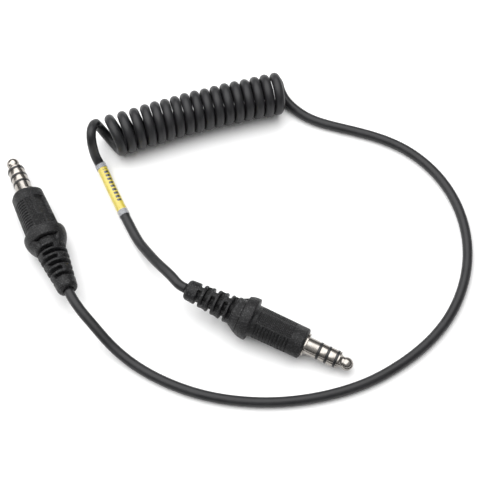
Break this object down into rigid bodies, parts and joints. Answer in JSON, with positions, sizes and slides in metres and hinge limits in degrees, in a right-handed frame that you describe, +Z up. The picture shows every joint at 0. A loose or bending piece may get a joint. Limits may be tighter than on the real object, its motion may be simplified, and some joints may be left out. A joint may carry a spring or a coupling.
{
  "type": "headset adapter lead",
  "caption": "Coiled helmet-headset lead with a moulded four-contact telephone plug on each end, slotted strain-relief boots and a yellow marker under clear heat-shrink.",
  "frame": {"origin": "Under the middle of the box round the two plugs, on the surface that they lie on.", "axes": "+X along the longer side of that box, +Y across it towards the coil, +Z up."},
  "size_m": [0.1971, 0.1539, 0.0184],
  "materials": {
    "nickel_plate": "bright nickel plate",
    "insulator": "satin moulded",
    "tag_brass": "plain",
    "grip_moulding": "spark-eroded grain",
    "boot_moulding": "satin moulded",
    "inner_mould": "plain",
    "clamp_steel": "plain",
    "black_wire": "plain",
    "green_wire": "plain",
    "white_wire": "plain",
    "red_wire": "plain",
    "cord_jacket": "satin extruded",
    "marker_yellow": "printed film",
    "heat_shrink": "clear, glossy"
  },
  "bodies": {
    "root": {"plug_a_tip": "nickel_plate", "plug_a_front_insulator": "insulator", "plug_a_ring_one": "nickel_plate", "plug_a_middle_insulator": "insulator", "plug_a_ring_two": "nickel_plate", "plug_a_rear_insulator": "insulator", "plug_a_sleeve": "nickel_plate", "plug_a_tip_tag": "tag_brass", "plug_a_ring_one_tag": "tag_brass", "plug_a_ring_two_tag": "tag_brass", "plug_a_sleeve_tag": "tag_brass", "plug_a_inner_mould": "inner_mould", "plug_a_grip": "grip_moulding", "plug_a_boot": "boot_moulding", "plug_a_cable_tail": "cord_jacket", "plug_a_cable_clamp": "clamp_steel", "plug_a_black_wire": "black_wire", "plug_a_green_wire": "green_wire", "plug_a_white_wire": "white_wire", "plug_a_red_wire": "red_wire", "plug_b_tip": "nickel_plate", "plug_b_front_insulator": "insulator", "plug_b_ring_one": "nickel_plate", "plug_b_middle_insulator": "insulator", "plug_b_ring_two": "nickel_plate", "plug_b_rear_insulator": "insulator", "plug_b_sleeve": "nickel_plate", "plug_b_tip_tag": "tag_brass", "plug_b_ring_one_tag": "tag_brass", "plug_b_ring_two_tag": "tag_brass", "plug_b_sleeve_tag": "tag_brass", "plug_b_inner_mould": "inner_mould", "plug_b_grip": "grip_moulding", "plug_b_boot": "boot_moulding", "plug_b_cable_tail": "cord_jacket", "plug_b_cable_clamp": "clamp_steel", "plug_b_black_wire": "black_wire", "plug_b_green_wire": "green_wire", "plug_b_white_wire": "white_wire", "plug_b_red_wire": "red_wire", "lead_a": "cord_jacket", "coil": "cord_jacket", "lead_b": "cord_jacket", "marker": "marker_yellow", "heat_shrink": "heat_shrink"}
  },
  "joints": []
}
